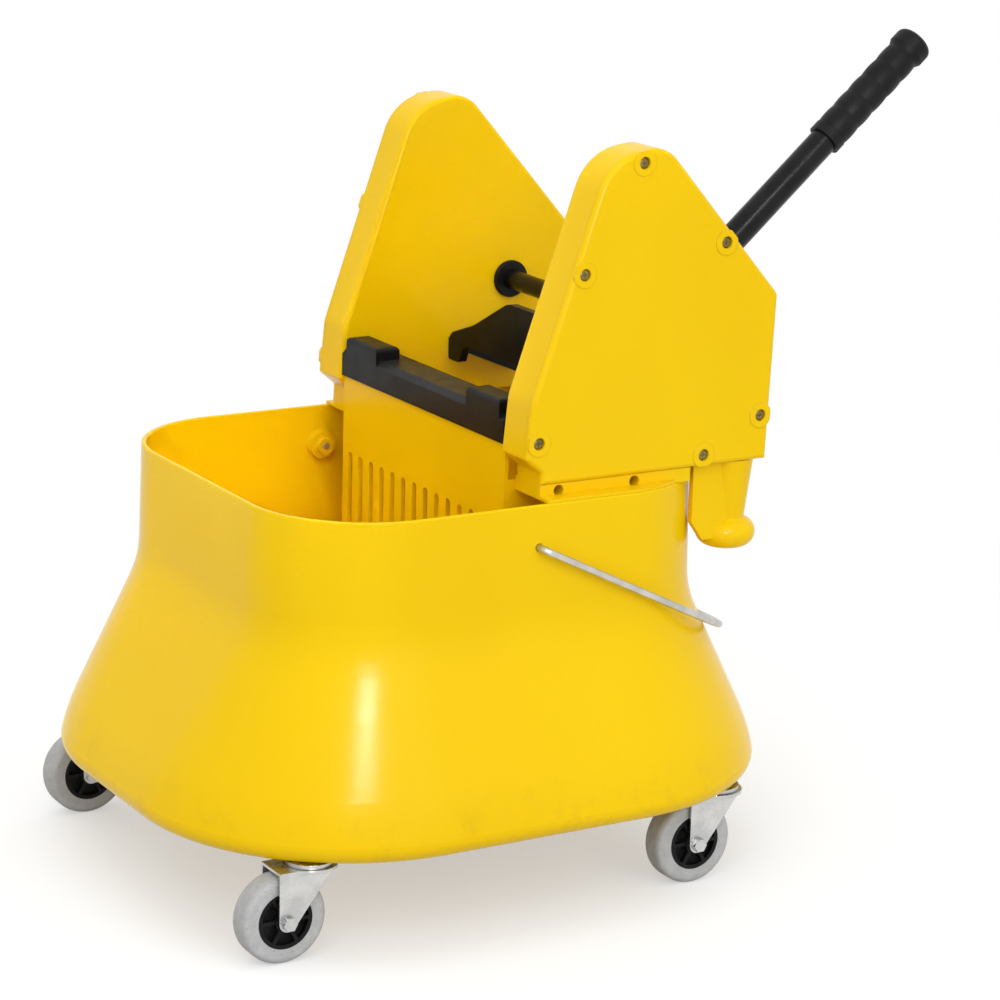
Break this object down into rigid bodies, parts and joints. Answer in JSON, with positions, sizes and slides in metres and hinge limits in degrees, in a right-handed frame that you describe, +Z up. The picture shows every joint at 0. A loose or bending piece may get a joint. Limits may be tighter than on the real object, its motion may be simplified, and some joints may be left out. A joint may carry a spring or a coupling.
{
  "type": "mop bucket with down-press wringer",
  "caption": "Flared yellow mop bucket on swivel casters with a lift-off wringer: a long lever turns geared pinions that press a bell-shaped plate down into a slotted basket.",
  "frame": {"origin": "on the floor under the centre of the bucket's collar", "axes": "+Z up, +X to the rear where the lever points, +Y to the right of a person standing behind it"},
  "size_m": [0.7517, 0.51, 0.7246],
  "materials": {
    "yellow_plastic": "glossy moulded yellow polypropylene",
    "black_plastic": "satin moulded black plastic",
    "hub_plastic": "moulded black wheel plastic",
    "grey_tyre": "grey non-marking tread, slightly scuffed",
    "zinc_steel": "bright zinc plated pressed steel",
    "bright_wire": "drawn galvanised wire",
    "black_steel": "black powder coat",
    "grip_rubber": "soft black moulded grip",
    "dark_screws": "dull yellow-passivated screws",
    "gear_steel": "oiled sintered steel",
    "spring_steel": "oil-tempered spring wire"
  },
  "bodies": {
    "bucket": {"bucket_shell": "yellow_plastic", "caster_stem_front_left": "zinc_steel", "caster_stem_front_right": "zinc_steel", "caster_stem_rear_left": "zinc_steel", "caster_stem_rear_right": "zinc_steel"},
    "bail": {"bail_wire": "bright_wire", "bail_caps": "yellow_plastic"},
    "wringer": {"basket": "yellow_plastic", "front_jaw": "black_plastic", "jaw_screws": "dark_screws", "frame_bolts": "dark_screws", "leg_screws": "dark_screws", "side_frame_left": "yellow_plastic", "side_frame_right": "yellow_plastic", "side_cover_left": "yellow_plastic", "side_cover_right": "yellow_plastic", "cover_screws_left": "dark_screws", "cover_screws_right": "dark_screws", "hanger_leg_left": "yellow_plastic", "hanger_leg_right": "yellow_plastic", "shaft_bush_left": "black_plastic", "shaft_bush_right": "black_plastic", "press_bush_left": "black_plastic", "press_bush_right": "black_plastic", "return_spring_left": "spring_steel", "return_spring_right": "spring_steel"},
    "lever": {"cross_shaft": "black_steel", "pinion_left": "gear_steel", "pinion_right": "gear_steel", "shaft_rings": "gear_steel", "handle_socket": "black_steel", "handle_bolt": "dark_screws", "handle_tube": "black_steel", "handle_grip": "grip_rubber"},
    "press": {"press_plate": "black_plastic", "press_stub_left": "gear_steel", "press_stub_right": "gear_steel", "sector_left": "gear_steel", "sector_right": "gear_steel"},
    "swivel_front_left": {"caster_fork_front_left": "zinc_steel", "caster_axle_front_left": "zinc_steel"},
    "wheel_front_left": {"wheel_hub_front_left": "hub_plastic", "wheel_tyre_front_left": "grey_tyre"},
    "swivel_front_right": {"caster_fork_front_right": "zinc_steel", "caster_axle_front_right": "zinc_steel"},
    "wheel_front_right": {"wheel_hub_front_right": "hub_plastic", "wheel_tyre_front_right": "grey_tyre"},
    "swivel_rear_left": {"caster_fork_rear_left": "zinc_steel", "caster_axle_rear_left": "zinc_steel"},
    "wheel_rear_left": {"wheel_hub_rear_left": "hub_plastic", "wheel_tyre_rear_left": "grey_tyre"},
    "swivel_rear_right": {"caster_fork_rear_right": "zinc_steel", "caster_axle_rear_right": "zinc_steel"},
    "wheel_rear_right": {"wheel_hub_rear_right": "hub_plastic", "wheel_tyre_rear_right": "grey_tyre"}
  },
  "joints": [
    {"name": "bail_lift", "type": "hinge", "parent": "bucket", "child": "bail", "pos_m": [0.0096, 0, 0.323], "axis": [0, -1, 0], "range_deg": [0, 12]},
    {"name": "wringer_lift", "type": "slide", "parent": "bucket", "child": "wringer", "axis": [0, 0, 1], "range_m": [0, 0.25]},
    {"name": "lever_swing", "type": "hinge", "parent": "wringer", "child": "lever", "pos_m": [0.1806, 0, 0.475], "axis": [0, 1, 0], "range_deg": [0, 75], "stiffness_Nm_per_rad": 2.5, "springref_deg": -70, "deforming": ["return_spring_left", "return_spring_right"]},
    {"name": "press_swing", "type": "hinge", "parent": "wringer", "child": "press", "pos_m": [0.1806, 0, 0.405], "axis": [0, 1, 0], "range_deg": [-45, 0]},
    {"name": "swivel_front_left", "type": "hinge", "parent": "bucket", "child": "swivel_front_left", "pos_m": [-0.2, -0.197, 0.085], "axis": [0, 0, 1], "continuous": true},
    {"name": "roll_front_left", "type": "hinge", "parent": "swivel_front_left", "child": "wheel_front_left", "pos_m": [-0.227, -0.197, 0.0381], "axis": [0, 1, 0], "continuous": true},
    {"name": "swivel_front_right", "type": "hinge", "parent": "bucket", "child": "swivel_front_right", "pos_m": [-0.2, 0.197, 0.085], "axis": [0, 0, 1], "continuous": true},
    {"name": "roll_front_right", "type": "hinge", "parent": "swivel_front_right", "child": "wheel_front_right", "pos_m": [-0.227, 0.197, 0.0381], "axis": [0, 1, 0], "continuous": true},
    {"name": "swivel_rear_left", "type": "hinge", "parent": "bucket", "child": "swivel_rear_left", "pos_m": [0.2, -0.197, 0.085], "axis": [0, 0, 1], "continuous": true},
    {"name": "roll_rear_left", "type": "hinge", "parent": "swivel_rear_left", "child": "wheel_rear_left", "pos_m": [0.173, -0.197, 0.0381], "axis": [0, 1, 0], "continuous": true},
    {"name": "swivel_rear_right", "type": "hinge", "parent": "bucket", "child": "swivel_rear_right", "pos_m": [0.2, 0.197, 0.085], "axis": [0, 0, 1], "continuous": true},
    {"name": "roll_rear_right", "type": "hinge", "parent": "swivel_rear_right", "child": "wheel_rear_right", "pos_m": [0.173, 0.197, 0.0381], "axis": [0, 1, 0], "continuous": true}
  ],
  "couplings": [
    {"joint": "press_swing", "follows": "lever_swing", "ratio": -0.6}
  ]
}
